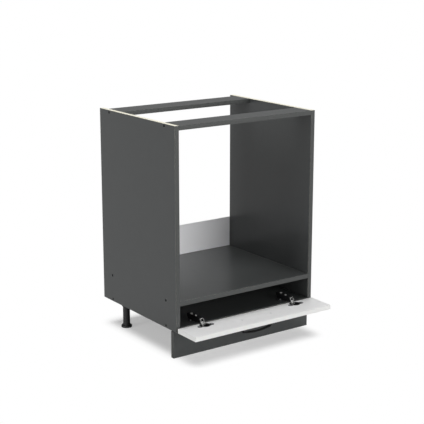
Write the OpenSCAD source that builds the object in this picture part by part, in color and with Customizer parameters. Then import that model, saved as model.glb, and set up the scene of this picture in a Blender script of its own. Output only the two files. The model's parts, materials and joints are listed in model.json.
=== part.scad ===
// Base cabinet for a built-in oven: a niche open to front and back, over a shallow compartment whose
// flap hangs on two cup hinges. Millimetres, X to the right seen from the front, Y to the back, Z up.
// Sizes run from the carcass's front plane at Y = 0; placed() then centres the whole object on the origin.

/* [Carcass] */
// Width over both side panels
cabinet_w = 600; // [500:10:900]
// Depth of the side panels
cabinet_d = 490; // [440:5:600]
// Height of the side panels
side_h = 716; // [600:2:900]
// Thickness of the chipboard panels
board_t = 16; // [15:0.5:19]
// Thickness of the glued edge bands
band_t = 1; // [0.4:0.1:2]
// Clear height between the bottom panel and the oven shelf
bay_h = 76; // [60:2:130]
// Depth of the front top rail
front_rail_d = 86; // [76:2:120]
// Depth of the rear top rail
rear_rail_d = 90; // [80:2:120]
// Gap from the rear top rail to the side panels' back edges
rear_rail_gap = 35; // [10:1:50]

/* [Back strip] */
// Height of the thin back strip
strip_h = 224; // [150:2:300]
// Thickness of the back strip
strip_t = 3; // [2.5:0.5:5]
// Margin of the back strip inside the carcass's outline
strip_margin = 2; // [0:0.5:5]
// Diameter of a nail's shank
nail_d = 1.6; // [1.2:0.1:2.2]
// Length of a nail under its head
nail_len = 22; // [16:1:30]
// Diameter of a nail's head
nail_head_d = 3.6; // [2.5:0.1:5]
// Thickness of a nail's head
nail_head_t = 0.5; // [0.3:0.1:1]

/* [Screws and dowels] */
// Distance of the confirmat screws from the front and back edges
screw_setback = 65; // [56:1:76]
// Length of a confirmat screw
screw_len = 50; // [40:5:60]
// Diameter of its smooth shank
screw_shank_d = 7; // [6:0.5:8]
// Diameter of its threaded part
screw_thread_d = 6.2; // [5:0.1:6.8]
// Diameter of its countersunk head
screw_head_d = 10; // [9:0.5:12]
// Height of its countersunk head
screw_head_h = 3; // [2:0.5:5]
// Width of its hexagon socket across flats
screw_socket_w = 4; // [3:0.5:5]
// Depth of its hexagon socket
screw_socket_h = 2.5; // [1.5:0.5:4]
// Diameter of a wooden dowel
dowel_d = 8; // [6:1:10]
// Length of a wooden dowel
dowel_len = 30; // [25:1:40]
// Depth of the dowel holes in the side panels
dowel_side_depth = 11; // [8:0.5:13]
// Distance of the shelf's and bottom panel's dowels from the edges
dowel_setback = 130; // [100:5:180]
// Distance from a rail's screw to its dowel
rail_dowel_pitch = 40; // [30:1:46]

/* [Legs] */
// Height from the floor to the carcass
leg_h = 100; // [80:5:150]
// Distance of the back legs' axes from the side panels' outer faces
back_leg_inset = 40; // [36:1:80]
// Distance of the front legs' axes from the side panels' outer faces
front_leg_inset = 56; // [40:1:90]
// Distance of the front legs' axes from the carcass's front
leg_front = 70; // [66:1:120]
// Distance of the back legs' axes from the side panels' back edges
leg_back = 93; // [92:1:150]
// Outer diameter of the leg tube
tube_d = 26; // [22:1:34]
// Wall of the leg tube
tube_wall = 2; // [1.5:0.5:3]
// Side of the square socket plate
socket_plate_w = 60; // [52:1:70]
// Thickness of the socket plate
socket_plate_t = 3; // [2:0.5:5]
// Height of the socket's collar
collar_h = 16; // [10:1:25]
// Wall of the socket's collar
collar_wall = 3; // [2:0.5:5]
// Thickness of the collar's gussets
gusset_t = 2.5; // [1.5:0.5:4]
// Spacing of the socket's screws
socket_pitch = 44; // [42:1:46]
// Diameter of the foot
foot_d = 40; // [36:1:60]
// Height of the foot's rim
foot_rim_h = 9; // [6:1:14]
// Height at which the leg tube meets the foot
foot_hub_h = 20; // [14:1:30]
// Rounding of the foot's rim
foot_round = 4; // [2:0.5:5]
// Length of the foot's stem inside the tube
stem_len = 48; // [40:1:58]
// Radial play of the stem in the tube
stem_play = 0.1; // [0.05:0.01:0.1]
// Grip flutes round the foot's rim
flute_count = 12; // [6:1:16]
// Radius of a grip flute
flute_r = 2; // [1:0.5:3]

/* [Plinth] */
// Distance of the plinth's front face behind the carcass's front
plinth_setback = 19; // [10:1:24]
// Gap above the plinth board
plinth_gap = 3; // [1:0.5:6]
// Distance of the plinth's ends inside the carcass's width
plinth_margin = 1; // [0:0.5:4]
// Width of a plinth clip's base plate
clip_plate_w = 36; // [30:1:44]
// Height of a plinth clip's base plate
clip_plate_h = 50; // [46:1:60]
// Thickness of a plinth clip's base plate
clip_plate_t = 4; // [3:0.5:6]
// Height of the snap ring
clip_ring_h = 16; // [12:1:20]
// Wall of the snap ring
clip_ring_wall = 3; // [2:0.5:4]
// Width of the snap ring's mouth
clip_mouth_w = 20; // [14:1:22]
// Width of the web between plate and ring
clip_web_w = 10; // [8:1:14]
// Distance from the clip's middle to its screws
clip_screw_pitch = 18; // [16:1:20]

/* [Small screws] */
// Diameter of the small chipboard screws
small_d = 3.5; // [3:0.1:4]
// Length of the small chipboard screws under the head
small_len = 13; // [10:1:14]
// Diameter of their heads
small_head_d = 7; // [6:0.5:8]
// Height of their heads
small_head_h = 2; // [1.5:0.1:3]

/* [Flap] */
// Gap at the flap's ends to the carcass's outline
flap_end_gap = 2; // [1:0.5:3]
// Margin of the closed flap above the carcass's underside and below the shelf's top
flap_margin = 0.5; // [0:0.1:2]
// Gap between the closed flap and the carcass's front
closed_gap = 2; // [1.8:0.1:2.4]
// Gap between the open flap and the carcass's front
open_gap = 6; // [5:0.1:7]
// Distance from the bottom panel's top up to the open flap's top face
open_rise = 0; // [-0.5:0.1:1]

/* [Handle] */
// Spacing of the handle's screws
handle_pitch = 128; // [96:32:192]
// Reach of the handle from the flap
handle_reach = 39; // [28:1:45]
// Thickness of the bow
handle_bar_t = 5; // [4:0.5:8]
// Thickness of the bow's legs
handle_leg_t = 8; // [7:0.5:10]
// Width of the bow
handle_w = 10; // [8:0.5:14]
// Radius of the bow's grip
handle_grip_r = 300; // [200:10:500]
// Outer corner radius of the bow
handle_corner_r = 24; // [14:1:28]
// Diameter of the handle screws
handle_screw_d = 4; // [3:0.5:4]
// Depth of the screws in the handle's legs
handle_screw_depth = 9; // [7:1:12]

/* [Cup hinges] */
// Distance of a hinge's middle from the flap's end
hinge_inset = 98; // [80:1:130]
// Diameter of the cup
cup_d = 35; // [34:0.5:36]
// Depth of the cup
cup_depth = 12; // [11.5:0.1:13]
// Wall of the cup
cup_wall = 0.8; // [0.6:0.1:1]
// Distance from the flap's edge to the cup
cup_edge = 4; // [3.5:0.1:4.5]
// Radius of the round part of the cup's flange
cup_rim_r = 19.5; // [19:0.1:21]
// Thickness of the cup's flange
cup_rim_t = 1; // [0.8:0.1:1.2]
// Spacing of the cup's screws
cup_screw_pitch = 52; // [48:1:54]
// Distance of the cup's screws from the cup's middle, away from the flap's edge
cup_screw_offset = 5.5; // [5:0.5:9]
// Radius of the flange's wings round the cup's screws
cup_wing_r = 7.5; // [6:0.5:9]
// Inner link's pin, distance from the flap's edge
inner_pin_u = 8.3; // [8.2:0.1:9]
// Inner link's pin, depth below the flap's inner face
inner_pin_v = 6.5; // [6:0.1:7]
// Outer link's pin, distance from the flap's edge
outer_pin_u = 11.3; // [11.2:0.1:12]
// Outer link's pin, depth below the flap's inner face
outer_pin_v = 1.5; // [1.3:0.1:2]
// Inner link's arm pin, distance from the flap's swing centre
inner_reach = 16; // [15:0.5:17]
// Outer link's arm pin, distance from the flap's swing centre
outer_reach = 28; // [27:0.5:28.5]
// Diameter of the link pins
pin_d = 2; // [1.8:0.1:2.2]
// Radial running play of a link on its pin
pin_play = 0.05; // [0.02:0.01:0.09]
// Radius of the inner link's eyes
inner_eye_r = 1.8; // [1.75:0.05:1.9]
// Half the depth of the inner link between its eyes
inner_bar_r = 1.4; // [1.3:0.1:1.5]
// Distance of the inner link's knee behind its cup pin
knee_shift = 0.4; // [0.2:0.1:0.6]
// Width of the inner link
inner_link_w = 8; // [6:0.2:8]
// Radius of the arm's nose
nose_r = 2.5; // [2.3:0.1:2.6]
// Radius of the outer links' ends
outer_end_r = 2.5; // [2.4:0.1:2.6]
// Thickness of the links' and arm's sheet metal
sheet_t = 1; // [0.8:0.1:1.1]
// Gap between neighbouring sheets on one pin
sheet_gap = 0.3; // [0.2:0.05:0.4]
// Play of the inner link's slot round the cup's pin, across the link
inner_slot_play = 0.3; // [0.25:0.05:0.35]
// Play of the outer link's slot round the cup's pin, across the link
outer_slot_play = 0.8; // [0.75:0.05:0.85]
// Play of both slots round the cup's pins, past both ends of their travel
slot_end_play = 0.1; // [0.05:0.05:0.2]

/* [Hinge arms and plates] */
// Width of the arm behind its nose
arm_w = 16; // [15:0.5:18]
// Y at which the arm's full width begins
arm_front = 1; // [1:0.5:4]
// Y of the arm's back end
arm_back = 72; // [68:1:78]
// Distance of the mounting plate's screws behind the carcass's front
plate_line = 37; // [35:1:40]
// Spacing of the mounting plate's screws
plate_pitch = 32; // [30:1:34]
// Thickness of the mounting plate's wings
plate_wing_t = 2.5; // [2:0.1:3]
// Radius of the mounting plate's wings round the screws
plate_wing_r = 8; // [7:0.5:9]
// Y of the mounting block's front end
block_front = 18; // [14:1:22]
// Y of the mounting block's back end
block_back = 66; // [62:1:68]
// Y of the arm's adjusting screw
adjust_y = 27; // [25:1:29]
// Y of the arm's fixing screw
fixing_y = 54; // [50:1:58]
// Diameter of the arm's screws
arm_screw_d = 5; // [4:0.5:6]
// Diameter of the fixing screw's head
fixing_head_d = 9; // [8:0.5:10]
// Diameter of the adjusting screw's head
adjust_head_d = 7; // [6:0.5:8]
// Height of the arm screws' heads
arm_head_h = 2; // [1.5:0.5:3]
// Width of the driver slots in the arm screws
driver_slot_w = 1; // [0.8:0.1:1.4]

/* [Hidden] */
$fn = 48;

// Clearance of fixed pins, screws and dowels in their holes
fit = 0.02;
// Overrun of a cutter past the face that it opens
cut = 1;

// Levels above the floor
bottom_top = leg_h + board_t;
shelf_z = bottom_top + bay_h;
shelf_top = shelf_z + board_t;
top_z = leg_h + side_h;
rail_z = top_z - board_t;

// Widths and depths
half_w = cabinet_w / 2;
inner_half_w = half_w - board_t;
rear_rail_back = cabinet_d - rear_rail_gap;
rear_rail_front = rear_rail_back - rear_rail_d;

// Closed and open flap in the plane of a hinge, as [Y, Z]
flap_h = 2 * board_t + bay_h - 2 * flap_margin;
flap_low = leg_h + flap_margin;
flap_top = bottom_top + open_rise;
flap_under = flap_top - board_t;
flap_front = -open_gap - flap_h;
flap_half_w = half_w - flap_end_gap;
flap_mid_y = -open_gap - flap_h / 2;
hinge_x = flap_half_w - hinge_inset;

// The object's middle in Y, from the open flap's edge to the nail heads
centre_y = (cabinet_d + strip_t + nail_head_t + flap_front) / 2;

// A point of the flap, u along it from the hinged edge and v deep, when closed and when open
function closed_at(p) = [-closed_gap - p[1], flap_low + p[0]];
function open_at(p) = [-open_gap - p[0], flap_top - p[1]];
function turned(p, a) = [p[0] * cos(a) - p[1] * sin(a), p[0] * sin(a) + p[1] * cos(a)];
function bearing(p) = atan2(p[1], p[0]);

// The point about which the flap makes its quarter turn
swing_rise = flap_top - flap_low;
swing_push = open_gap - closed_gap;
swing_centre = closed_at([(swing_rise - swing_push) / 2, (swing_rise + swing_push) / 2]);
// An arm pin at this bearing is as far from the flap's pin when open as when closed
function arm_pin(p, reach) = let (r = closed_at(p) - swing_centre)
    swing_centre + reach * turned(r / norm(r), 45);

inner_pin = [inner_pin_u, inner_pin_v];
outer_pin = [outer_pin_u, outer_pin_v];
pin_a = arm_pin(inner_pin, inner_reach);
pin_b = open_at(inner_pin);
pin_c = arm_pin(outer_pin, outer_reach);
pin_d_open = open_at(outer_pin);

// Distances of a flap pin from its arm pin over the quarter turn, which the link's slot makes room for
function swung(p, q) = swing_centre + turned(p - swing_centre, -90 * q);
function pin_way(p, centre) = [for (q = [0:0.125:1]) norm(swung(p, q) - centre)];
inner_way = pin_way(pin_b, pin_a);
outer_way = pin_way(pin_d_open, pin_c);

// Half widths of the sheets on the hinge's pins, from the middle out
inner_half = inner_link_w / 2;
nose_in = inner_half + sheet_gap;
nose_out = nose_in + sheet_t;
plate_in = nose_out + sheet_gap;
plate_out = plate_in + sheet_t;
ear_in = plate_out + sheet_gap;
ear_out = ear_in + sheet_t;
arm_top = pin_c[1] + nose_r;
arm_under = pin_a[1] - nose_r;

// Cup in the open flap
cup_r = cup_d / 2;
cup_u = cup_edge + cup_r;
cup_y = -open_gap - cup_u;
cup_screw_y = cup_y - cup_screw_offset;

// Narrowing of a small screw's head to its outer face
small_head_taper = 1;

// Legs as [X, Y]
front_leg_x = half_w - front_leg_inset;
back_leg_x = half_w - back_leg_inset;
leg_back_y = cabinet_d - leg_back;
tube_r = tube_d / 2;
collar_r = tube_r + collar_wall;
plinth_back = plinth_setback + board_t;
plinth_h = leg_h - plinth_gap;
clip_z = plinth_h / 2;
// Flare of a foot's hub towards its rim
hub_flare = 1;
// Overlap of a gusset with the collar's wall, and its end above the collar's lower edge
gusset_sink = 1;
gusset_end = 2;

// Screw and dowel lines of the four horizontal boards, as [Y, Z]
bottom_mid = bottom_top - board_t / 2;
shelf_mid = shelf_top - board_t / 2;
rail_mid = top_z - board_t / 2;
screw_ys = [screw_setback, cabinet_d - screw_setback];
dowel_ys = [dowel_setback, cabinet_d - dowel_setback];
screw_points = [for (z = [bottom_mid, shelf_mid, rail_mid]) for (y = screw_ys) [y, z]];
dowel_points = concat([for (z = [bottom_mid, shelf_mid]) for (y = dowel_ys) [y, z]],
    [for (y = screw_ys) [y - rail_dowel_pitch, rail_mid]]);
dowel_start = inner_half_w + dowel_side_depth;
// Depth of the dowel holes past the dowels' inner ends
dowel_end_room = 1;

// Nails as [X, Z]
strip_low = leg_h + strip_margin;
strip_top = strip_low + strip_h;
strip_half_w = half_w - strip_margin;
nail_side_x = half_w - board_t / 2;
// Distance of the side panels' nails from the strip's lower and upper edges
nail_side_inset = 40;
nail_side_levels = [strip_low + nail_side_inset, strip_top - nail_side_inset];
nail_points = concat(
    [for (x = [-nail_side_x, nail_side_x]) for (z = nail_side_levels) [x, z]],
    [for (z = [bottom_mid, shelf_mid]) for (x = [-inner_half_w / 2, 0, inner_half_w / 2]) [x, z]]);

graphite = "#4b4e4e";
graphite_band = "#5a5d5c";
white_front = "#e8e8e6";
hinge_black = "#1c1c1d";
nickel = "#c9cacb";
leg_black = "#161617";
black_zinc = "#2a2a2b";

// Moves the children from the carcass's front plane to the object's own frame
module placed() {
    translate([0, -centre_y, 0]) children();
}

// The children and their mirror image across the cabinet's middle
module pair() {
    children();
    mirror([1, 0, 0]) children();
}

// A box between two corners
module block(low, high) {
    translate(low) cube(high - low);
}

// A flat bar with round ends between two points of the plane
module bar2d(p, q, r) {
    translate(p) circle(r);
    translate(q) circle(r);
    translate(p) rotate(bearing(q - p)) translate([0, -r]) square([norm(q - p), 2 * r]);
}

// A side view in [Y, Z], drawn from X = x0 to X = x1
module across(x0, x1) {
    translate([x0, 0, 0]) rotate([90, 0, 90]) linear_extrude(x1 - x0) children();
}

// A rod along X through a point of the side view
module rod(p, r, x0, x1) {
    translate([x0, p[0], p[1]]) rotate([0, 90, 0]) cylinder(h = x1 - x0, r = r);
}

// A screw of the left side panel at [Y, Z], or with a clearance the hole that it fills
module confirmat(p, clear = 0) {
    translate([-half_w, p[0], p[1]]) rotate([0, 90, 0]) {
        cylinder(h = screw_head_h, r1 = screw_head_d / 2 + clear, r2 = screw_shank_d / 2 + clear);
        cylinder(h = board_t, r = screw_shank_d / 2 + clear);
        cylinder(h = screw_len + clear, r = screw_thread_d / 2 + clear);
    }
}

module dowel_hole(p) {
    rod(p, dowel_d / 2 + fit, -dowel_start - fit, -dowel_start + dowel_len + dowel_end_room);
}

// Holes that the side panel and the horizontal boards share
module joint_holes() {
    pair() {
        for (p = screw_points) confirmat(p, fit);
        for (p = dowel_points) dowel_hole(p);
    }
}

module nail(p, clear = 0) {
    translate([p[0], cabinet_d + strip_t, p[1]]) rotate([90, 0, 0])
        cylinder(h = nail_len + clear, r = nail_d / 2 + clear);
}

module nail_holes() {
    for (p = nail_points) nail(p, fit);
}

module side_panel() {
    difference() {
        block([-half_w, band_t, leg_h], [-inner_half_w, cabinet_d, top_z]);
        joint_holes();
        nail_holes();
        leg_screw_holes();
    }
}

module left_side_panel() {
    color(graphite) placed() side_panel();
}

module right_side_panel() {
    color(graphite) placed() mirror([1, 0, 0]) side_panel();
}

// A horizontal board between the side panels, with its holes still uncut
module shelf_board(y0, y1, top) {
    block([-inner_half_w, y0, top - board_t], [inner_half_w, y1, top]);
}

module bottom_panel() {
    color(graphite) placed() difference() {
        shelf_board(band_t, cabinet_d, bottom_top);
        joint_holes();
        nail_holes();
        leg_screw_holes();
        hinge_plate_holes();
    }
}

module oven_shelf() {
    color(graphite) placed() difference() {
        shelf_board(band_t, cabinet_d, shelf_top);
        joint_holes();
        nail_holes();
    }
}

module front_top_rail() {
    color(graphite) placed() difference() {
        shelf_board(band_t, front_rail_d, top_z);
        joint_holes();
    }
}

module rear_top_rail() {
    color(graphite) placed() difference() {
        shelf_board(rear_rail_front, rear_rail_back, top_z);
        joint_holes();
    }
}

module back_strip() {
    color("#dcdcda") placed() difference() {
        block([-strip_half_w, cabinet_d, strip_low], [strip_half_w, cabinet_d + strip_t, strip_top]);
        nail_holes();
    }
}

module back_nails() {
    color(nickel) placed() for (p = nail_points) {
        nail(p);
        translate([p[0], cabinet_d + strip_t + nail_head_t, p[1]]) rotate([90, 0, 0])
            cylinder(h = nail_head_t, r = nail_head_d / 2);
    }
}

module side_edge_bands() {
    color(graphite_band) placed() pair()
        block([-half_w, 0, leg_h], [-inner_half_w, band_t, top_z]);
}

// Edge band along the front of a horizontal board
module board_band(top) {
    color(graphite_band) placed() shelf_board(0, band_t, top);
}

module bottom_edge_band() {
    board_band(bottom_top);
}

module shelf_edge_band() {
    board_band(shelf_top);
}

module rail_edge_band() {
    board_band(top_z);
}

module confirmat_screws() {
    color(black_zinc) placed() pair() for (p = screw_points) difference() {
        confirmat(p);
        translate([-half_w - cut, p[0], p[1]]) rotate([0, 90, 0])
            cylinder(h = screw_socket_h + cut, d = screw_socket_w / cos(30), $fn = 6);
    }
}

module dowels() {
    color("burlywood") placed() pair() for (p = dowel_points)
        rod(p, dowel_d / 2, -dowel_start, -dowel_start + dowel_len);
}

// The children at each of the four legs
module at_legs() {
    for (x = [-front_leg_x, front_leg_x]) translate([x, leg_front, 0]) children();
    for (x = [-back_leg_x, back_leg_x]) translate([x, leg_back_y, 0]) children();
}

// The children at each of a socket plate's four screws
module at_socket_screws() {
    for (x = [-1, 1]) for (y = [-1, 1]) translate([x, y, 0] * socket_pitch / 2) children();
}

module leg_screw_holes() {
    at_legs() at_socket_screws() translate([0, 0, leg_h - socket_plate_t])
        cylinder(h = small_len + fit, r = small_d / 2 + fit);
}

// A small chipboard screw, its head below Z = 0 and its shank up
module small_screw() {
    cylinder(h = small_len, r = small_d / 2);
    translate([0, 0, -small_head_h])
        cylinder(h = small_head_h, r1 = small_head_d / 2 - small_head_taper, r2 = small_head_d / 2);
}

module leg_socket() {
    gusset_reach = socket_plate_w / 2 - collar_r;
    difference() {
        union() {
            translate([-socket_plate_w / 2, -socket_plate_w / 2, leg_h - socket_plate_t])
                cube([socket_plate_w, socket_plate_w, socket_plate_t]);
            translate([0, 0, leg_h - socket_plate_t - collar_h]) cylinder(h = collar_h, r = collar_r);
            for (a = [0:90:270]) rotate(a) translate([collar_r, gusset_t / 2, leg_h - socket_plate_t])
                rotate([90, 0, 0]) linear_extrude(gusset_t)
                    polygon([[-gusset_sink, 0], [gusset_reach, 0], [0, gusset_end - collar_h],
                        [-gusset_sink, gusset_end - collar_h]]);
        }
        translate([0, 0, leg_h - socket_plate_t - collar_h - cut])
            cylinder(h = collar_h + cut, r = tube_r + fit);
        at_socket_screws() translate([0, 0, leg_h - socket_plate_t - cut])
            cylinder(h = socket_plate_t + 2 * cut, r = small_d / 2 + fit);
    }
}

module leg_sockets() {
    color(leg_black) placed() at_legs() leg_socket();
}

module leg_screws() {
    color(nickel) placed() at_legs() at_socket_screws()
        translate([0, 0, leg_h - socket_plate_t]) small_screw();
}

module leg_tubes() {
    color(leg_black) placed() at_legs() difference() {
        translate([0, 0, foot_hub_h]) cylinder(h = leg_h - socket_plate_t - foot_hub_h, r = tube_r);
        translate([0, 0, foot_hub_h - cut]) cylinder(h = leg_h, r = tube_r - tube_wall);
    }
}

// An adjustable foot, screwed fully in: rim with grip flutes, hub and threaded stem
module foot() {
    rim_r = foot_d / 2;
    hub_r = tube_r + hub_flare;
    stem_r = tube_r - tube_wall - stem_play;
    difference() {
        union() {
            rotate_extrude() {
                square([rim_r - foot_round, foot_rim_h]);
                square([rim_r, foot_rim_h - foot_round]);
                translate([rim_r - foot_round, foot_rim_h - foot_round]) intersection() {
                    circle(foot_round);
                    square(foot_round);
                }
            }
            cylinder(h = foot_hub_h, r1 = hub_r, r2 = tube_r);
            cylinder(h = foot_hub_h + stem_len, r = stem_r);
        }
        for (k = [0:flute_count - 1]) rotate(k * 360 / flute_count)
            translate([rim_r + flute_r / 2, 0, -cut]) cylinder(h = foot_rim_h + 2 * cut, r = flute_r);
    }
}

module placed_foot(x, y) {
    color(leg_black) placed() translate([x, y, 0]) foot();
}

module foot_front_left() {
    placed_foot(-front_leg_x, leg_front);
}

module foot_front_right() {
    placed_foot(front_leg_x, leg_front);
}

module foot_back_left() {
    placed_foot(-back_leg_x, leg_back_y);
}

module foot_back_right() {
    placed_foot(back_leg_x, leg_back_y);
}

// The children at each plinth clip, from the plinth's back face at the clip's middle
module at_clips() {
    for (x = [-front_leg_x, front_leg_x]) translate([x, plinth_back, clip_z]) children();
}

// The children at each screw of a plinth clip, their Z pointing forwards from the base plate's back face
module at_clip_screws() {
    at_clips() for (z = [-clip_screw_pitch, clip_screw_pitch])
        translate([0, clip_plate_t, z]) rotate([90, 0, 0]) children();
}

module plinth_board() {
    end = half_w - plinth_margin;
    color(graphite) placed() difference() {
        block([-end, plinth_setback, 0], [end, plinth_back, plinth_h]);
        at_clip_screws() cylinder(h = small_len + fit, r = small_d / 2 + fit);
    }
}

module plinth_clips() {
    ring_r = tube_r + clip_ring_wall;
    to_leg = leg_front - plinth_back;
    color(leg_black) placed() difference() {
        at_clips() {
            translate([-clip_plate_w / 2, 0, -clip_plate_h / 2])
                cube([clip_plate_w, clip_plate_t, clip_plate_h]);
            translate([-clip_web_w / 2, 0, -clip_ring_h / 2]) cube([clip_web_w, to_leg, clip_ring_h]);
            translate([0, to_leg, -clip_ring_h / 2]) cylinder(h = clip_ring_h, r = ring_r);
        }
        at_clips() {
            translate([0, to_leg, -clip_ring_h]) cylinder(h = 2 * clip_ring_h, r = tube_r + fit);
            translate([-clip_mouth_w / 2, to_leg, -clip_ring_h])
                cube([clip_mouth_w, ring_r + cut, 2 * clip_ring_h]);
        }
        at_clip_screws() translate([0, 0, -cut]) cylinder(h = small_len, r = small_d / 2 + fit);
    }
}

module plinth_clip_screws() {
    color(nickel) placed() at_clip_screws() small_screw();
}

// The children at each hinge's middle plane
module at_hinges() {
    for (x = [-hinge_x, hinge_x]) translate([x, 0, 0]) children();
}

// The children at each screw of the mounting plates, their Z pointing down into the bottom panel
module at_plate_screws() {
    at_hinges() for (x = [-plate_pitch / 2, plate_pitch / 2])
        translate([x, plate_line, bottom_top + plate_wing_t]) rotate([180, 0, 0]) children();
}

module hinge_plate_holes() {
    at_plate_screws() cylinder(h = small_len + fit, r = small_d / 2 + fit);
}

module hinge_plates() {
    block_half = arm_w / 2 - sheet_t - sheet_gap;
    block_top = arm_top - sheet_t;
    color(hinge_black) placed() difference() {
        at_hinges() {
            translate([0, 0, bottom_top]) linear_extrude(plate_wing_t)
                bar2d([-plate_pitch / 2, plate_line], [plate_pitch / 2, plate_line], plate_wing_r);
            block([-block_half, block_front, bottom_top], [block_half, block_back, block_top]);
        }
        at_plate_screws() translate([0, 0, -cut]) cylinder(h = small_len, r = small_d / 2 + fit);
        at_hinges() for (y = [adjust_y, fixing_y]) translate([0, y, bottom_top + plate_wing_t])
            cylinder(h = block_top, r = arm_screw_d / 2 + fit);
    }
}

module hinge_plate_screws() {
    color(nickel) placed() at_plate_screws() small_screw();
}

// Side view of the arm's nose, from both link pins back to the arm's full depth
module nose_profile() {
    high = [arm_front, arm_top - nose_r];
    low = [arm_front, pin_a[1]];
    bar2d(pin_a, pin_c, nose_r);
    bar2d(pin_c, high, nose_r);
    bar2d(pin_a, low, nose_r);
    polygon([pin_a, pin_c, high, low]);
}

// Side view of the arm's cheek behind the nose, its lower edge rising to the back end
module cheek_profile() {
    rise = (arm_top - arm_under) / 2;
    polygon([[arm_front, arm_under], [block_back, arm_under], [arm_back, arm_under + rise],
        [arm_back, arm_top], [arm_front, arm_top]]);
}

module hinge_arm() {
    half = arm_w / 2;
    difference() {
        union() {
            // Nose plates on both sides of the inner link, bent outwards into the cheeks
            pair() across(nose_in, nose_out) nose_profile();
            pair() across(half - sheet_t, half) cheek_profile();
            pair() block([nose_in, arm_front, arm_under], [half, arm_front + sheet_t, arm_top]);
            block([-half, arm_front, arm_top - sheet_t], [half, arm_back, arm_top]);
        }
        for (p = [pin_a, pin_c]) rod(p, pin_d / 2 + fit, -half, half);
        for (y = [adjust_y, fixing_y]) translate([0, y, arm_top - sheet_t - cut])
            cylinder(h = sheet_t + 2 * cut, r = arm_screw_d / 2 + fit);
    }
}

module hinge_arms() {
    color(hinge_black) placed() at_hinges() hinge_arm();
}

// An arm screw: head on the arm, shank down into the mounting block, driver slot across the head
module arm_screw(y, head_d) {
    shank = arm_top - bottom_top - 2 * plate_wing_t;
    translate([0, y, arm_top]) difference() {
        union() {
            cylinder(h = arm_head_h, r = head_d / 2);
            translate([0, 0, -shank]) cylinder(h = shank, r = arm_screw_d / 2);
        }
        translate([-head_d / 2 - cut, -driver_slot_w / 2, arm_head_h / 2])
            cube([head_d + 2 * cut, driver_slot_w, arm_head_h]);
    }
}

module hinge_arm_screws() {
    color(nickel) placed() at_hinges() {
        arm_screw(adjust_y, adjust_head_d);
        arm_screw(fixing_y, fixing_head_d);
    }
}

module hinge_arm_pins() {
    color(nickel) placed() at_hinges() {
        rod(pin_a, pin_d / 2, -nose_out, nose_out);
        rod(pin_c, pin_d / 2, -plate_out, plate_out);
    }
}

// The stretch of a link along which the flap's pin travels, as a bar of radius r
module link_slot(arm_end, flap_end, way, r) {
    along = (flap_end - arm_end) / norm(flap_end - arm_end);
    bar2d(arm_end + (min(way) - slot_end_play) * along, arm_end + (max(way) + slot_end_play) * along, r);
}

// Side view of an inner link: an eye on the arm's pin, a knee that clears the cup's rim, and a slotted head
module inner_link_profile() {
    knee = [pin_b[0] + knee_shift, flap_top + cup_rim_t];
    difference() {
        union() {
            translate(pin_a) circle(inner_eye_r);
            link_slot(pin_a, pin_b, inner_way, inner_eye_r);
            bar2d(pin_a, knee, inner_bar_r);
            bar2d(knee, pin_b, inner_bar_r);
        }
        link_slot(pin_a, pin_b, inner_way, pin_d / 2 + inner_slot_play);
    }
}

module hinge_inner_links() {
    color(nickel) placed() at_hinges() difference() {
        across(-inner_half, inner_half) inner_link_profile();
        rod(pin_a, pin_d / 2 + pin_play, -inner_half - cut, inner_half + cut);
    }
}

// Side view of an outer link plate: an eye on the arm's pin, a slot for the cup's pin
module outer_link_profile() {
    difference() {
        bar2d(pin_c, pin_d_open, outer_end_r);
        link_slot(pin_c, pin_d_open, outer_way, pin_d / 2 + outer_slot_play);
    }
}

module hinge_outer_links() {
    color(nickel) placed() at_hinges() pair() difference() {
        across(plate_in, plate_out) outer_link_profile();
        rod(pin_c, pin_d / 2 + pin_play, 0, arm_w);
    }
}

// Outline of the cup's flange seen from above, wings round both screws
module cup_flange_outline() {
    translate([0, cup_y]) circle(cup_rim_r);
    bar2d([-cup_screw_pitch / 2, cup_screw_y], [cup_screw_pitch / 2, cup_screw_y], cup_wing_r);
}

module at_cup_screws() {
    at_hinges() for (x = [-cup_screw_pitch / 2, cup_screw_pitch / 2])
        translate([x, cup_screw_y, flap_top + cup_rim_t]) rotate([180, 0, 0]) children();
}

module hinge_cup() {
    floor_z = flap_top - cup_depth;
    inner_r = cup_r - cup_wall;
    difference() {
        union() {
            difference() {
                union() {
                    translate([0, cup_y, floor_z]) cylinder(h = cup_depth, r = cup_r);
                    translate([0, 0, flap_top]) linear_extrude(cup_rim_t) cup_flange_outline();
                }
                translate([0, cup_y, floor_z + cup_wall]) cylinder(h = cup_depth + cup_rim_t, r = inner_r);
            }
            // Low ears beside the inner link, and full ears outside the outer link's plates
            intersection() {
                translate([0, cup_y, floor_z]) cylinder(h = cup_depth, r = cup_r);
                pair() {
                    across(nose_in, nose_out) bar2d([pin_b[0], floor_z], pin_b, inner_eye_r);
                    block([ear_in, pin_d_open[0] - nose_r, floor_z],
                        [ear_out, pin_d_open[0] + nose_r, flap_top]);
                }
            }
        }
        rod(pin_b, pin_d / 2 + fit, -plate_in, plate_in);
        rod(pin_d_open, pin_d / 2 + fit, -ear_out - cut, ear_out + cut);
    }
}

module hinge_cups() {
    color(hinge_black) placed() difference() {
        at_hinges() hinge_cup();
        at_cup_screws() translate([0, 0, -cut]) cylinder(h = small_len, r = small_d / 2 + fit);
    }
}

module hinge_cup_pins() {
    color(nickel) placed() at_hinges() {
        rod(pin_b, pin_d / 2, -nose_out, nose_out);
        pair() rod(pin_d_open, pin_d / 2, plate_in, ear_out);
    }
}

module hinge_cup_screws() {
    color(nickel) placed() at_cup_screws() small_screw();
}

// The children at each handle screw, on the flap's top face with their Z pointing down
module at_handle_screws() {
    for (x = [-handle_pitch / 2, handle_pitch / 2])
        translate([x, flap_mid_y, flap_top]) rotate([180, 0, 0]) children();
}

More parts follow.
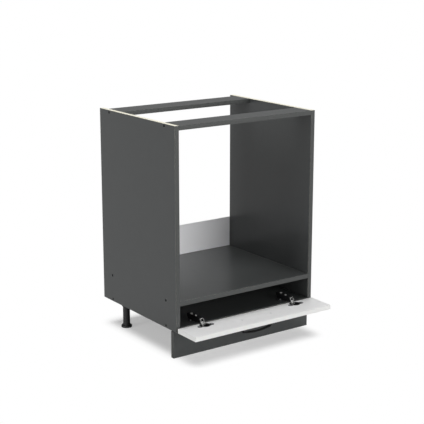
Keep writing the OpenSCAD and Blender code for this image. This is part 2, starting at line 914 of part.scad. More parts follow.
module flap_panel() {
    color(white_front) placed() difference() {
        block([-flap_half_w + band_t, flap_front + band_t, flap_under],
            [flap_half_w - band_t, -open_gap - band_t, flap_top]);
        at_hinges() translate([0, cup_y, flap_top - cup_depth - fit])
            cylinder(h = cup_depth + cut, r = cup_r + fit);
        at_cup_screws() cylinder(h = small_len + fit, r = small_d / 2 + fit);
        at_handle_screws() translate([0, 0, -cut]) {
            cylinder(h = board_t + 2 * cut, r = handle_screw_d / 2 + fit);
            cylinder(h = small_head_h + cut + fit, r = small_head_d / 2 + fit);
        }
    }
}

module flap_edge_bands() {
    color(white_front) placed() {
        for (y = [flap_front, -open_gap - band_t])
            block([-flap_half_w, y, flap_under], [flap_half_w, y + band_t, flap_top]);
        pair() block([-flap_half_w, flap_front + band_t, flap_under],
            [-flap_half_w + band_t, -open_gap - band_t, flap_top]);
    }
}

// One side of the bow, in [X, reach]: a flat arc with rounded corners, open to the flap
module bow_outline(half, reach, corner, grip) {
    intersection() {
        union() {
            translate([-half, 0]) square([2 * half, reach - corner]);
            translate([-half + corner, 0]) square([2 * (half - corner), reach]);
            for (x = [corner - half, half - corner]) translate([x, reach - corner]) circle(corner);
        }
        translate([0, reach - grip]) circle(grip, $fn = 180);
        translate([-half, 0]) square([2 * half, reach]);
    }
}

module flap_handle() {
    half = (handle_pitch + handle_leg_t) / 2;
    inner_corner = handle_corner_r - handle_bar_t;
    color(leg_black) placed() difference() {
        translate([0, flap_mid_y + handle_w / 2, flap_under]) rotate([90, 0, 0]) linear_extrude(handle_w)
            mirror([0, 1]) difference() {
                bow_outline(half, handle_reach, handle_corner_r, handle_grip_r);
                translate([0, -cut]) bow_outline(half - handle_leg_t, handle_reach - handle_bar_t + cut,
                    inner_corner, handle_grip_r - handle_bar_t);
            }
        at_handle_screws() cylinder(h = board_t + handle_screw_depth + fit, r = handle_screw_d / 2 + fit);
    }
}

module handle_screws() {
    color(nickel) placed() at_handle_screws() {
        cylinder(h = small_head_h, r = small_head_d / 2);
        cylinder(h = board_t + handle_screw_depth, r = handle_screw_d / 2);
    }
}

left_side_panel();
right_side_panel();
bottom_panel();
oven_shelf();
front_top_rail();
rear_top_rail();
back_strip();
back_nails();
side_edge_bands();
bottom_edge_band();
shelf_edge_band();
rail_edge_band();
confirmat_screws();
dowels();
leg_sockets();
leg_screws();
leg_tubes();
foot_front_left();
foot_front_right();
foot_back_left();
foot_back_right();
plinth_board();
plinth_clips();
plinth_clip_screws();
hinge_plates();
hinge_plate_screws();
hinge_arms();
hinge_arm_screws();
hinge_arm_pins();
hinge_inner_links();
hinge_outer_links();
hinge_cups();
hinge_cup_pins();
hinge_cup_screws();
flap_panel();
flap_edge_bands();
flap_handle();
handle_screws();
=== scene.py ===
"""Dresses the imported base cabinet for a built-in oven: boards, legs, plinth, hinges, flap and handle.

Each part of the cabinet is a class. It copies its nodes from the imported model, gives every face its finish,
cuts the recesses of the small screws and rounds the edges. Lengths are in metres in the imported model's
frame, X to the right, Y to the back and Z up, unless a name says otherwise.
"""

import json
import logging
import math
from dataclasses import dataclass, field
from enum import Enum
from functools import cache

import bpy
from mathutils import Euler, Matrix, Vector


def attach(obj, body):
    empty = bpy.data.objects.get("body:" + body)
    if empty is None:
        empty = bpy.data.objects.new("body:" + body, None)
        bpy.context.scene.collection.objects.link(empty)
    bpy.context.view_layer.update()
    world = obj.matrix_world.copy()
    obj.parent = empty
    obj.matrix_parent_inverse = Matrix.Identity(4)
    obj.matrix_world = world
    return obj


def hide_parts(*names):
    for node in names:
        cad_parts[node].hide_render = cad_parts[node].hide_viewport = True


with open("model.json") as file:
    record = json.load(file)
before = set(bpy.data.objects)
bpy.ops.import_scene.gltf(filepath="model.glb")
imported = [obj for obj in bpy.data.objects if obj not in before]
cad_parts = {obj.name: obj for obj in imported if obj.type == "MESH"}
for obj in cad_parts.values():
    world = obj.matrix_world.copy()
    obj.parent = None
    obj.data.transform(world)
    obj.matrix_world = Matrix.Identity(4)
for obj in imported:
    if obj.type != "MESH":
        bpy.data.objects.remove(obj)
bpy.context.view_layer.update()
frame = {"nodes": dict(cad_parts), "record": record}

Tree = bpy.types.NodeTree
Node = bpy.types.Node
Socket = bpy.types.NodeSocket
# Places along a pattern with their sRGB colours
Stops = tuple[tuple[float, str], ...]

log = logging.getLogger("cabinet")
MM = 0.001
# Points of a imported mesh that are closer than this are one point
WELD_MM = 0.005
# Faces that meet at less than this angle belong to one curved surface
SHARP_DEG = 40.0
# A face looks to a side if it is turned away from it by less than this
ASKEW_DEG = 45.0
PURE_WHITE = "#ffffff"
NODE_BODY = {
    node: body for body, nodes in frame["record"]["behaviour"]["bodies"].items() for node in nodes
}


class Side(Enum):
    """The way a face looks."""

    LEFT = (-1, 0, 0)
    RIGHT = (1, 0, 0)
    FRONT = (0, -1, 0)
    BACK = (0, 1, 0)
    DOWN = (0, 0, -1)
    UP = (0, 0, 1)


ENDS = (Side.LEFT, Side.RIGHT)
FRONT_AND_BACK = (Side.FRONT, Side.BACK)
TOP_AND_UNDERSIDE = (Side.UP, Side.DOWN)


# Colours and nodes


def linear(code: str) -> tuple[float, float, float, float]:
    """Turns an sRGB colour into Blender's linear values.

    Args:
        code: The colour as hex digits with a leading hash.

    Returns:
        Red, green, blue and an alpha of one.
    """
    channels = []
    for start in (1, 3, 5):
        value = int(code[start : start + 2], 16) / 255
        channels.append(value / 12.92 if value <= 0.04045 else ((value + 0.055) / 1.055) ** 2.4)
    return (*channels, 1.0)


def per_metre(size_mm: float) -> float:
    """Gives the texture scale at which a pattern's cell is that many millimetres wide."""
    return 1 / (size_mm * MM)


def add_node(
    tree: Tree, kind: str, inputs: dict[str | int, object] | None = None, **settings: object
) -> Node:
    """Adds a node with its settings, values and links.

    Args:
        tree: The material's or world's node tree.
        kind: The node's type name.
        inputs: Socket name or number to a value, or to the socket that feeds it.
        **settings: Attributes of the node itself.

    Returns:
        The new node.
    """
    node = tree.nodes.new(kind)
    for name, value in settings.items():
        setattr(node, name, value)
    for name, value in (inputs or {}).items():
        if isinstance(value, Socket):
            tree.links.new(value, node.inputs[name])
        else:
            node.inputs[name].default_value = value
    return node


@dataclass(frozen=True)
class Surface:
    """A material in the making: its nodes, its shader and the coordinates that its patterns read."""

    tree: Tree
    shader: Node
    place: Socket

    def noise(self, size_mm: float, detail: float = 2.0) -> Socket:
        """Gives a noise from zero to one.

        Args:
            size_mm: The size of its lumps.
            detail: How many finer noises lie over it.

        Returns:
            The pattern.
        """
        inputs = {"Vector": self.place, "Scale": per_metre(size_mm), "Detail": detail}
        return add_node(self.tree, "ShaderNodeTexNoise", inputs).outputs["Fac"]

    def paint(self, pattern: Socket, stops: Stops) -> None:
        """Colours the surface by a pattern.

        Args:
            pattern: The pattern, from zero to one.
            stops: Places along the pattern with their sRGB colours.
        """
        ramp = add_node(self.tree, "ShaderNodeValToRGB", {"Fac": pattern})
        elements = ramp.color_ramp.elements
        while len(elements) < len(stops):
            elements.new(0.5)
        for element, (place, code) in zip(elements, stops):
            element.position = place
            element.color = linear(code)
        self.tree.links.new(ramp.outputs["Color"], self.shader.inputs["Base Color"])

    def vary_roughness(self, pattern: Socket, middle: float, swing: float) -> None:
        """Spreads the roughness either side of the finish's own.

        Args:
            pattern: The pattern, from zero to one.
            middle: The finish's own roughness.
            swing: How far it goes up and down from there.
        """
        inputs = {"Value": pattern, "To Min": middle - swing, "To Max": middle + swing}
        spread = add_node(self.tree, "ShaderNodeMapRange", inputs)
        self.tree.links.new(spread.outputs["Result"], self.shader.inputs["Roughness"])

    def emboss(self, pattern: Socket, depth_mm: float) -> None:
        """Raises the surface by a pattern, up to a depth in millimetres."""
        bump = add_node(self.tree, "ShaderNodeBump", {"Height": pattern, "Distance": depth_mm * MM})
        self.tree.links.new(bump.outputs["Normal"], self.shader.inputs["Normal"])


# Finishes


@dataclass(frozen=True)
class Finish:
    """A surface as it leaves the factory."""

    name: str
    colour: str
    roughness: float

    @cache
    def material(self) -> bpy.types.Material:
        """Builds the material at its first use.

        Returns:
            The same material each time.
        """
        material = bpy.data.materials.new(self.name)
        material.use_nodes = True
        material.diffuse_color = linear(self.colour)
        tree = material.node_tree
        shader = tree.nodes["Principled BSDF"]
        shader.inputs["Base Color"].default_value = linear(self.colour)
        shader.inputs["Roughness"].default_value = self.roughness
        place = add_node(tree, "ShaderNodeTexCoord").outputs["Object"]
        self.detail(Surface(tree, shader, place))
        return material

    def detail(self, surface: Surface) -> None:
        """Adds what sets the finish apart.

        Args:
            surface: The material in the making.
        """
        raise NotImplementedError


@dataclass(frozen=True)
class Melamine(Finish):
    """Decor paper in melamine resin, pressed on chipboard: an even tone with a fine pearl texture."""

    light: str
    dark: str
    cloud_mm: float = 26.0
    roughness_swing: float = 0.03
    # The real pearl texture is about 0.4 mm, drawn coarser so that it shows in the render
    pearl_mm: float = 0.9
    pearl_depth_mm: float = 0.004

    def detail(self, surface: Surface) -> None:
        """Clouds the tone a little and presses in the pearl texture.

        Args:
            surface: The material in the making.
        """
        clouds = surface.noise(self.cloud_mm, detail=5.0)
        surface.paint(clouds, ((0.3, self.dark), (0.5, self.colour), (0.7, self.light)))
        surface.vary_roughness(clouds, self.roughness, self.roughness_swing)
        surface.emboss(surface.noise(self.pearl_mm), self.pearl_depth_mm)


@dataclass(frozen=True)
class RawChipboard(Finish):
    """A sawn chipboard edge: pale flakes with darker glue and gaps between them."""

    chip_mm: float = 2.4
    pit_depth_mm: float = 0.2
    gap: str = "#dcd3b3"
    flake: str = "#f9f7ec"

    def detail(self, surface: Surface) -> None:
        """Lays the flakes as cells of many tones, with pits between.

        Args:
            surface: The material in the making.
        """
        inputs = {"Vector": surface.place, "Scale": per_metre(self.chip_mm), "Randomness": 1.0}
        flakes = add_node(surface.tree, "ShaderNodeTexVoronoi", inputs).outputs
        tones = add_node(surface.tree, "ShaderNodeSeparateColor", {"Color": flakes["Color"]}).outputs
        stops = ((0.0, self.gap), (0.25, self.colour), (0.8, self.flake), (1.0, self.colour))
        surface.paint(tones["Red"], stops)
        surface.emboss(flakes["Distance"], self.pit_depth_mm)


@dataclass(frozen=True)
class EdgeBand(Finish):
    """An ABS strip glued on with hot melt: smoother than the melamine and slightly uneven."""

    ripple_mm: float = 1.6
    ripple_depth_mm: float = 0.01
    roughness_swing: float = 0.05

    def detail(self, surface: Surface) -> None:
        """Ripples the strip softly.

        Args:
            surface: The material in the making.
        """
        ripples = surface.noise(self.ripple_mm)
        surface.vary_roughness(ripples, self.roughness, self.roughness_swing)
        surface.emboss(ripples, self.ripple_depth_mm)


@dataclass(frozen=True)
class Fibreboard(Finish):
    """Thin hard fibreboard: lacquered on the good side, felted brown fibres on the other."""

    light: str
    fibre_mm: float = 1.3
    fibre_depth_mm: float = 0.03

    def detail(self, surface: Surface) -> None:
        """Mixes the fibres' two tones.

        Args:
            surface: The material in the making.
        """
        fibres = surface.noise(self.fibre_mm, detail=6.0)
        surface.paint(fibres, ((0.35, self.colour), (0.65, self.light)))
        surface.emboss(fibres, self.fibre_depth_mm)


@dataclass(frozen=True)
class MouldedPlastic(Finish):
    """Injection moulded polypropylene: black with a fine eroded grain and a soft sheen."""

    # The real grain is about 0.2 mm, drawn coarser so that it shows in a close view
    grain_mm: float = 0.8
    grain_depth_mm: float = 0.03
    roughness_swing: float = 0.08

    def detail(self, surface: Surface) -> None:
        """Erodes the grain and dulls it unevenly.

        Args:
            surface: The material in the making.
        """
        grain = surface.noise(self.grain_mm, detail=3.0)
        surface.vary_roughness(grain, self.roughness, self.roughness_swing)
        surface.emboss(grain, self.grain_depth_mm)


@dataclass(frozen=True)
class BlackCoatAndPaintedReflection(Finish):
    """Steel with a thin black coating: satin or matt, with a slight orange peel. On the hinges the black is
    painted dark reflection of plated steel, not a coating.
    """

    peel_mm: float = 2.2
    peel_depth_mm: float = 0.02
    roughness_swing: float = 0.05
    # The shader's specular level, where 0.5 is an ordinary lacquer
    shine: float = 0.5

    def detail(self, surface: Surface) -> None:
        """Adds the coating's gloss and peel.

        Args:
            surface: The material in the making.
        """
        surface.shader.inputs["Specular IOR Level"].default_value = self.shine
        peel = surface.noise(self.peel_mm)
        surface.vary_roughness(peel, self.roughness, self.roughness_swing)
        surface.emboss(peel, self.peel_depth_mm)


@dataclass(frozen=True)
class PlatedSteel(Finish):
    """Nickel or zinc plated steel: bright metal with fine scuffs."""

    scuff_mm: float = 1.5
    roughness_swing: float = 0.1

    def detail(self, surface: Surface) -> None:
        """Makes it metal and scuffs it.

        Args:
            surface: The material in the making.
        """
        surface.shader.inputs["Metallic"].default_value = 1.0
        scuffs = surface.noise(self.scuff_mm, detail=4.0)
        surface.vary_roughness(scuffs, self.roughness, self.roughness_swing)


@dataclass(frozen=True)
class RawBeech(Finish):
    """A turned beech dowel: short brown flecks on pale wood."""

    fleck: str = "#b28a5c"
    fleck_mm: float = 1.2

    def detail(self, surface: Surface) -> None:
        """Flecks the wood."""
        flecks = surface.noise(self.fleck_mm, detail=3.0)
        surface.paint(flecks, ((0.4, self.fleck), (0.55, self.colour)))


GRAPHITE = Melamine("graphite_melamine", "#424444", 0.3, light="#434545", dark="#414343")
WHITE = Melamine("white_melamine", "#eeeeee", 0.35, light="#f0f0f0", dark="#ececec")
SAWN_EDGE = RawChipboard("sawn_chipboard_edge", "#f2eedb", 0.85)
GRAPHITE_BAND = EdgeBand("graphite_abs_band", "#424443", 0.35)
WHITE_BAND = EdgeBand("white_abs_band", "#e6e6e4", 0.35)
LACQUERED = Fibreboard("lacquered_fibreboard", "#f6f6f8", 0.4, light="#f8f8fa", fibre_depth_mm=0.01)
RAW_FIBRE = Fibreboard("raw_fibreboard_back", "#8a6a48", 0.8, light="#9c7b56")
BLACK_PLASTIC = MouldedPlastic("black_polypropylene", "#1b1b1c", 0.5)
# Hinge plates, arms and cups: the near-black colour is painted dark reflection, standing in for plated steel
# that mirrors dark surroundings
HINGE_PAINTED_DARK_REFLECTION = BlackCoatAndPaintedReflection("hinge_black_painted_dark_reflection", "#161617", 0.38)
BLACK_POWDER = BlackCoatAndPaintedReflection("black_powder_coat", "#070708", 0.6, shine=0.2)
NICKEL = PlatedSteel("satin_nickel_plate", "#cfcfcd", 0.3)
ZINC = PlatedSteel("dull_zinc_plate", "#8e9092", 0.42)
BRIGHT_ZINC = PlatedSteel("bright_zinc_plate", "#dcdee0", 0.5)
BLACK_ZINC = PlatedSteel("black_zinc_plate", "#2b2b2c", 0.45)
BEECH = RawBeech("raw_beech", "#d9b98c", 0.7)


# Meshes


def select_only(piece: bpy.types.Object) -> None:
    """Deselects everything, then selects one object and makes it active.

    Args:
        piece: The object.
    """
    bpy.ops.object.select_all(action="DESELECT")
    piece.select_set(True)
    bpy.context.view_layer.objects.active = piece


def copy_of_node(node: str, name: str) -> bpy.types.Object:
    """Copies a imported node's mesh and joins its loose triangles.

    Args:
        node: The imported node.
        name: The new piece's name.

    Returns:
        The new piece, at the origin.
    """
    mesh = frame["nodes"][node].data.copy()
    mesh.name = name
    mesh.materials.clear()
    piece = bpy.data.objects.new(name, mesh)
    bpy.context.scene.collection.objects.link(piece)
    select_only(piece)
    bpy.ops.object.mode_set(mode="EDIT")
    bpy.ops.mesh.select_all(action="SELECT")
    bpy.ops.mesh.customdata_custom_splitnormals_clear()
    bpy.ops.mesh.remove_doubles(threshold=WELD_MM * MM)
    bpy.ops.object.mode_set(mode="OBJECT")
    return piece


def cover(piece: bpy.types.Object, finish: Finish, others: dict[Side, Finish]) -> None:
    """Gives every face its finish.

    Args:
        piece: The mesh object.
        finish: The finish of most faces.
        others: The finishes of the faces that look to certain sides.
    """
    finishes = list(dict.fromkeys([finish, *others.values()]))
    for each in finishes:
        piece.data.materials.append(each.material())
    for face in piece.data.polygons:
        for side, other in others.items():
            if face.normal.dot(Vector(side.value)) > math.cos(math.radians(ASKEW_DEG)):
                face.material_index = finishes.index(other)


def round_edges(piece: bpy.types.Object, width_mm: float, segments: int) -> None:
    """Rounds every sharp edge.

    Args:
        piece: The mesh object.
        width_mm: The rounding's width.
        segments: Its steps.
    """
    select_only(piece)
    bevel = piece.modifiers.new("rounding", "BEVEL")
    bevel.width = width_mm * MM
    bevel.segments = segments
    bevel.limit_method = "ANGLE"
    bevel.angle_limit = math.radians(SHARP_DEG)
    bevel.use_clamp_overlap = False
    # Sliding along the long thin triangles of a drilled board would turn some of them over
    bevel.loop_slide = False
    bpy.ops.object.modifier_apply(modifier=bevel.name)


def smooth(piece: bpy.types.Object) -> None:
    """Smooths the curved surfaces of a piece and keeps its flat faces flat.

    Args:
        piece: The mesh object.
    """
    select_only(piece)
    bpy.ops.object.shade_smooth_by_angle(angle=math.radians(SHARP_DEG))
    weights = piece.modifiers.new("flat_faces_first", "WEIGHTED_NORMAL")
    weights.keep_sharp = True
    bpy.ops.object.modifier_apply(modifier=weights.name)


def hand_over(piece: bpy.types.Object, node: str) -> None:
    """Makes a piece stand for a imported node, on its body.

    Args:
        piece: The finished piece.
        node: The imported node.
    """
    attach(piece, NODE_BODY[node])
    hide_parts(node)
    log.info("%s stands for %s on %s", piece.name, node, NODE_BODY[node])


# The cabinet's parts


@dataclass(frozen=True)
class Part:
    """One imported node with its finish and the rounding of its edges."""

    node: str
    name: str
    finish: Finish
    rounding_mm: float
    others: dict[Side, Finish] = field(default_factory=dict)
    segments: int = 2

    def make(self) -> None:
        """Makes the piece that stands for the node."""
        piece = copy_of_node(self.node, self.name)
        cover(piece, self.finish, self.others)
        self.cut(piece)
        round_edges(piece, self.rounding_mm, self.segments)
        smooth(piece)
        hand_over(piece, self.node)

    def cut(self, piece: bpy.types.Object) -> None:
        """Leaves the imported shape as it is, which only screws change."""


@dataclass(frozen=True)
class ScrewSet(Part):
    """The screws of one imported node, which get a cross recess in each head."""

    # The recess across its points, across one blade at its middle, and its depth
    cross_mm: float = 4.2
    blade_mm: float = 1.5
    depth_mm: float = 1.5
    # Width of the recess's floor as a share of its mouth
    taper: float = 0.45
    # How far the cutter stands out of the head, so that it opens the head's face
    overlap_mm: float = 0.2
    # How far into a screw the points count as its end
    end_mm: float = 1.0

    def heads(self, piece: bpy.types.Object) -> list[tuple[Vector, Vector]]:
        """Finds every head, which is the wider end of its screw.

        Args:
            piece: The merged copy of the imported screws.

        Returns:
            The middle of each head's outer face and the way that it looks.
        """
        select_only(piece)
        bpy.ops.object.duplicate()
        bpy.ops.mesh.separate(type="LOOSE")
        found = []
        for screw in bpy.context.selected_objects:
            points = [vertex.co for vertex in screw.data.vertices]
            low, high = (
                Vector(pick(point[axis] for point in points) for axis in range(3)) for pick in (min, max)
            )
            size = high - low
            middle = (low + high) / 2
            length = max(range(3), key=lambda axis: size[axis])
            widths = {}
            for end, way in ((low, -1), (high, 1)):
                near = [point for point in points if abs(point[length] - end[length]) < self.end_mm * MM]
                across = (length + 1) % 3
                widths[way] = max(abs(point[across] - middle[across]) for point in near)
            way = max(widths, key=widths.get)
            looks = Vector(way * (axis == length) for axis in range(3))
            found.append((middle + looks * size[length] / 2, looks))
        bpy.ops.object.delete()
        return found

    def cutter(self, heads: list[tuple[Vector, Vector]], turn: float) -> bpy.types.Object:
        """Models one blade of the recess on every head.

        Args:
            heads: Middles and directions of the heads.
            turn: The blade's turn about the screw, in degrees.

        Returns:
            All the blades as one mesh.
        """
        height = (self.depth_mm + self.overlap_mm) * MM
        mouth = self.cross_mm * MM / 2
        blades = []
        for middle, looks in heads:
            aim = looks.to_track_quat("Z", "Y") @ Euler((0, 0, math.radians(turn))).to_quaternion()
            bpy.ops.object.select_all(action="DESELECT")
            # A cone with four sides, squashed across, is one tapered blade
            bpy.ops.mesh.primitive_cone_add(
                vertices=4,
                radius1=mouth * self.taper,
                radius2=mouth,
                depth=height,
                location=middle + looks * (self.overlap_mm * MM - height / 2),
                rotation=aim.to_euler(),
                scale=(self.blade_mm / self.cross_mm, 1, 1),
            )
            blades.append(bpy.context.active_object)
        for blade in blades:
            blade.select_set(True)
        bpy.ops.object.join()
        cutter = bpy.context.active_object
        bpy.ops.object.transform_apply(location=True, rotation=True, scale=True)
        return cutter

    def cut(self, piece: bpy.types.Object) -> None:
        """Cuts the recesses, one blade and then the other.

        Args:
            piece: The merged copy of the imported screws.
        """
        heads = self.heads(piece)
        for turn in (0, 90):
            cutter = self.cutter(heads, turn)
            select_only(piece)
            recess = piece.modifiers.new("driver_recess", "BOOLEAN")
            recess.operation = "DIFFERENCE"
            recess.object = cutter
            bpy.ops.object.modifier_apply(modifier=recess.name)
            bpy.data.objects.remove(cutter)


@dataclass(frozen=True)
class Assembly:
    """Parts that are made one after the other."""

    def parts(self) -> list[Part]:
        """Lists the parts."""
        raise NotImplementedError

    def make(self) -> None:
        """Makes every part."""
        for part in self.parts():
            part.make()


@dataclass(frozen=True)
class Carcass(Assembly):
    """Side panels, shelves, rails, back strip, their edge bands, screws, dowels and nails."""

    board_rounding_mm: float = 0.3
    strip_rounding_mm: float = 0.2
    band_rounding_mm: float = 0.4
    screw_rounding_mm: float = 0.15
    dowel_rounding_mm: float = 0.8

    def parts(self) -> list[Part]:
        """Lists the carcass's parts.

        Returns:
            The boards first, then their bands and what holds them together.
        """
        sawn_round_side = {side: SAWN_EDGE for side in (*FRONT_AND_BACK, *TOP_AND_UNDERSIDE)}
        sawn_round_shelf = {side: SAWN_EDGE for side in (*FRONT_AND_BACK, *ENDS)}
        banded_rail = {**sawn_round_shelf, Side.FRONT: GRAPHITE_BAND}
        board = self.board_rounding_mm
        band = self.band_rounding_mm
        screw = self.screw_rounding_mm
        fibre_back = {Side.BACK: RAW_FIBRE}
        return [
            Part("left_side_panel", "left_side_board", GRAPHITE, board, sawn_round_side),
            Part("right_side_panel", "right_side_board", GRAPHITE, board, sawn_round_side),
            Part("bottom_panel", "bottom_board", GRAPHITE, board, sawn_round_shelf),
            Part("oven_shelf", "oven_shelf_board", GRAPHITE, board, sawn_round_shelf),
            Part("front_top_rail", "front_rail_board", GRAPHITE, board, sawn_round_shelf),
            Part("rear_top_rail", "rear_rail_board", GRAPHITE, board, banded_rail),
            Part("back_strip", "back_strip_board", LACQUERED, self.strip_rounding_mm, fibre_back),
            Part("side_edge_bands", "side_bands", GRAPHITE_BAND, band),
            Part("bottom_edge_band", "bottom_band", GRAPHITE_BAND, band),
            Part("shelf_edge_band", "shelf_band", GRAPHITE_BAND, band),
            Part("rail_edge_band", "rail_band", GRAPHITE_BAND, band),
            Part("confirmat_screws", "confirmats", BLACK_ZINC, screw),
            Part("dowels", "dowel_pegs", BEECH, self.dowel_rounding_mm),
            Part("back_nails", "strip_nails", ZINC, screw),
        ]


@dataclass(frozen=True)
class Legs(Assembly):
    """Four adjustable legs and the plinth board clipped to the front ones."""

    plastic_rounding_mm: float = 0.4
    foot_rounding_mm: float = 0.5
    plinth_rounding_mm: float = 0.4
    screw_rounding_mm: float = 0.12

    def parts(self) -> list[Part]:
        """Lists sockets, tubes, feet, plinth, clips and screws.

        Returns:
            The legs from the top down, then the plinth.
        """
        plastic = self.plastic_rounding_mm
        screw = self.screw_rounding_mm
        banded = {side: GRAPHITE_BAND for side in (*TOP_AND_UNDERSIDE, *ENDS)}
        feet = [
            Part("foot_" + end, "foot_pad_" + end, BLACK_PLASTIC, self.foot_rounding_mm)
            for end in ("front_left", "front_right", "back_left", "back_right")
        ]
        return [
            Part("leg_sockets", "leg_plates", BLACK_PLASTIC, plastic),
            Part("leg_tubes", "leg_barrels", BLACK_PLASTIC, plastic),
            *feet,
            ScrewSet("leg_screws", "leg_plate_screws", ZINC, screw),
            Part("plinth_board", "plinth", GRAPHITE, self.plinth_rounding_mm, banded),
            Part("plinth_clips", "clips", BLACK_PLASTIC, plastic),
            ScrewSet("plinth_clip_screws", "clip_screws", ZINC, screw),
        ]


@dataclass(frozen=True)
class CupHinges(Assembly):
    """Two cup hinges with their mounting plates."""

    plate_rounding_mm: float = 0.3
    pressed_rounding_mm: float = 0.25
    outer_link_rounding_mm: float = 0.2
    arm_screw_rounding_mm: float = 0.2
    pin_rounding_mm: float = 0.15
    screw_rounding_mm: float = 0.12

    def parts(self) -> list[Part]:
        """Lists plates, arms, links, pins, cups and screws.

        Returns:
            The parts from the side panel to the flap.
        """
        pressed = self.pressed_rounding_mm
        pin = self.pin_rounding_mm
        screw = self.screw_rounding_mm
        return [
            # Plates, arms and cups get the black of painted dark reflection; links and pins are nickel
            Part("hinge_plates", "mounting_plates", HINGE_PAINTED_DARK_REFLECTION, self.plate_rounding_mm),
            ScrewSet("hinge_plate_screws", "mounting_screws", ZINC, screw),
            Part("hinge_arms", "arms", HINGE_PAINTED_DARK_REFLECTION, pressed),
            Part("hinge_arm_screws", "arm_screws", NICKEL, self.arm_screw_rounding_mm),
            Part("hinge_arm_pins", "arm_pins", NICKEL, pin),
            Part("hinge_inner_links", "inner_links", NICKEL, pressed),
            Part("hinge_outer_links", "outer_links", NICKEL, self.outer_link_rounding_mm),
            Part("hinge_cups", "cups", HINGE_PAINTED_DARK_REFLECTION, pressed),
            Part("hinge_cup_pins", "cup_pins", NICKEL, pin),
            ScrewSet("hinge_cup_screws", "cup_screws", ZINC, screw),
        ]


@dataclass(frozen=True)
class Flap(Assembly):
    """The white flap with its edge bands and bow handle."""

    board_rounding_mm: float = 0.3
    band_rounding_mm: float = 0.6
    bow_rounding_mm: float = 1.6
    # Steps of the bow's rounding, which is wide enough to show them
    bow_segments: int = 4
    screw_rounding_mm: float = 0.12

    def parts(self) -> list[Part]:
        """Lists panel, bands, handle and screws.

        Returns:
            The flap's parts.
        """
        bow = Part(
            "flap_handle", "bow_handle", BLACK_POWDER, self.bow_rounding_mm, segments=self.bow_segments
        )
        return [
            Part("flap_panel", "flap_board", WHITE, self.board_rounding_mm),
            Part("flap_edge_bands", "flap_bands", WHITE_BAND, self.band_rounding_mm),
            bow,
            ScrewSet("handle_screws", "bow_screws", BRIGHT_ZINC, self.screw_rounding_mm),
        ]


# Studio


@dataclass(frozen=True)
class Lamp:
    """A soft lamp so far away that it lights the whole cabinet alike."""

    name: str
    # Watts per square metre
    strength: float
    # The angle that it fills, which softens its shadows
    spread_deg: float
    # The direction from the cabinet to the lamp
    seen_from: tuple[float, float, float]

    def hang(self) -> None:
        """Adds the lamp to the scene."""
        data = bpy.data.lights.new(self.name, "SUN")
        data.energy = self.strength
        data.angle = math.radians(self.spread_deg)
        lamp = bpy.data.objects.new(self.name, data)
        lamp.rotation_euler = Vector(self.seen_from).to_track_quat("Z", "Y").to_euler()
        bpy.context.scene.collection.objects.link(lamp)


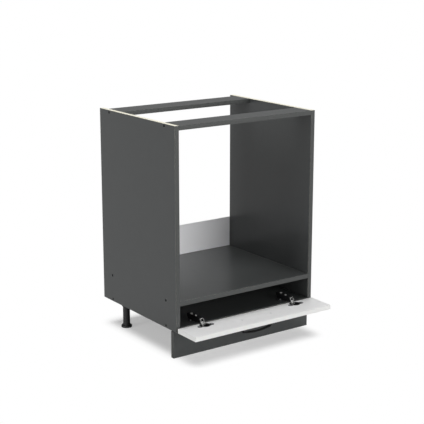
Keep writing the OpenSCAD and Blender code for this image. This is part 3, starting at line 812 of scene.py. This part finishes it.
@dataclass(frozen=True)
class Studio:
    """Camera, white floor, white surroundings and soft lamps."""

    eye: tuple[float, float, float] = (-2.3168, -3.2404, 1.4302)
    heading_deg: float = 35.382
    dip_deg: float = 13.883
    lens_mm: float = 95.88
    sensor_mm: float = 36.0
    floor_span: float = 80.0
    # The floor's tone to the camera, and a darker one to the light that it throws back
    floor_seen: str = "#fdfdfd"
    floor_lit: str = "#c8c8c8"
    # The rectangle that the cabinet stands on, and how far beyond it the floor fades to plain white
    stand_middle: tuple[float, float, float] = (-0.01, 0.015, 0.0)
    stand_half: tuple[float, float, float] = (0.235, 0.25, 0.0)
    fade: float = 0.085
    # Share of plain white in the floor that the camera sees at the cabinet, which keeps its shadow pale
    glow: float = 0.36
    # Strength of the surroundings as a light, and as what shiny surfaces mirror
    ambient: float = 0.08
    mirrored: float = 0.3
    # Low in front, in front on the left and on the left, and a broad one overhead
    lamps: tuple[Lamp, ...] = (
        Lamp("low_front", 2.2, 40.0, (0.3, -0.94, 0.14)),
        Lamp("low_front_left", 0.5, 40.0, (-0.6, -0.75, 0.25)),
        Lamp("low_left", 1.25, 25.0, (-1.0, 0.0, 0.2)),
        Lamp("high", 2.15, 35.0, (0.05, 0.05, 0.99)),
    )

    def camera(self) -> None:
        """Sets the camera where the photograph was taken from."""
        data = bpy.data.cameras.new("camera")
        data.lens = self.lens_mm
        data.sensor_width = self.sensor_mm
        camera = bpy.data.objects.new("camera", data)
        camera.location = self.eye
        camera.rotation_euler = (math.radians(90 - self.dip_deg), 0.0, math.radians(-self.heading_deg))
        bpy.context.scene.collection.objects.link(camera)
        bpy.context.scene.camera = camera

    def beyond_stand(self, tree: Tree) -> Socket:
        """Measures how far a point of the floor lies outside the rectangle that the cabinet stands on.

        Args:
            tree: The floor's node tree.

        Returns:
            The distance, which is zero inside.
        """
        offset = add_node(tree, "ShaderNodeTexCoord").outputs["Object"]
        steps = (
            ("SUBTRACT", {1: self.stand_middle}),
            ("ABSOLUTE", {}),
            ("SUBTRACT", {1: self.stand_half}),
            ("MAXIMUM", {1: (0.0, 0.0, 0.0)}),
        )
        for operation, other in steps:
            inputs = {0: offset, **other}
            offset = add_node(tree, "ShaderNodeVectorMath", inputs, operation=operation).outputs["Vector"]
        return add_node(tree, "ShaderNodeVectorMath", {0: offset}, operation="LENGTH").outputs["Value"]

    def floor(self) -> None:
        """Lays the white floor, which keeps the cabinet's shadow near it."""
        bpy.ops.object.select_all(action="DESELECT")
        bpy.ops.mesh.primitive_plane_add(size=self.floor_span, location=(0, 0, 0))
        floor = bpy.context.active_object
        floor.name = "floor"
        material = bpy.data.materials.new("studio_floor")
        material.use_nodes = True
        tree = material.node_tree
        tree.nodes.clear()
        seen = add_node(tree, "ShaderNodeLightPath").outputs["Is Camera Ray"]
        whiteness = add_node(
            tree,
            "ShaderNodeMapRange",
            {"Value": self.beyond_stand(tree), "From Max": self.fade, "To Min": self.glow, "To Max": 1.0},
            interpolation_type="SMOOTHSTEP",
        ).outputs["Result"]
        plain = add_node(
            tree, "ShaderNodeMath", {0: whiteness, 1: seen}, operation="MULTIPLY"
        ).outputs["Value"]
        # The colours of this node are its sockets 6 and 7, and its third output
        tone = add_node(
            tree,
            "ShaderNodeMix",
            {0: seen, 6: linear(self.floor_lit), 7: linear(self.floor_seen)},
            data_type="RGBA",
        ).outputs[2]
        lit = add_node(tree, "ShaderNodeBsdfDiffuse", {"Color": tone}).outputs["BSDF"]
        white = add_node(tree, "ShaderNodeEmission", {"Color": linear(PURE_WHITE)}).outputs["Emission"]
        mixed = add_node(tree, "ShaderNodeMixShader", {0: plain, 1: lit, 2: white}).outputs["Shader"]
        add_node(tree, "ShaderNodeOutputMaterial", {"Surface": mixed})
        floor.data.materials.append(material)

    def surroundings(self) -> None:
        """Makes the surroundings white to the camera, and dimmer as a light and in reflections."""
        world = bpy.data.worlds.new("surroundings")
        bpy.context.scene.world = world
        world.use_nodes = True
        tree = world.node_tree
        tree.nodes.clear()
        path = add_node(tree, "ShaderNodeLightPath").outputs
        straight = add_node(
            tree,
            "ShaderNodeMath",
            {0: path["Is Camera Ray"], 1: path["Is Transmission Ray"]},
            operation="MAXIMUM",
        ).outputs["Value"]
        indirect = add_node(
            tree,
            "ShaderNodeMapRange",
            {"Value": path["Is Glossy Ray"], "To Min": self.ambient, "To Max": self.mirrored},
        ).outputs["Result"]
        strength = add_node(
            tree, "ShaderNodeMapRange", {"Value": straight, "To Min": indirect, "To Max": 1.0}
        ).outputs["Result"]
        background = add_node(
            tree, "ShaderNodeBackground", {"Color": linear(PURE_WHITE), "Strength": strength}
        ).outputs["Background"]
        add_node(tree, "ShaderNodeOutputWorld", {"Surface": background})

    def make(self) -> None:
        """Sets up the whole studio."""
        self.camera()
        self.floor()
        self.surroundings()
        for lamp in self.lamps:
            lamp.hang()
        bpy.context.scene.view_settings.view_transform = "Standard"


def main() -> None:
    """Builds the cabinet's parts in order, then the studio."""
    logging.basicConfig(level=logging.INFO, format="%(name)s: %(message)s")
    for part in (Carcass(), Legs(), CupHinges(), Flap(), Studio()):
        part.make()


if __name__ == "__main__":
    main()
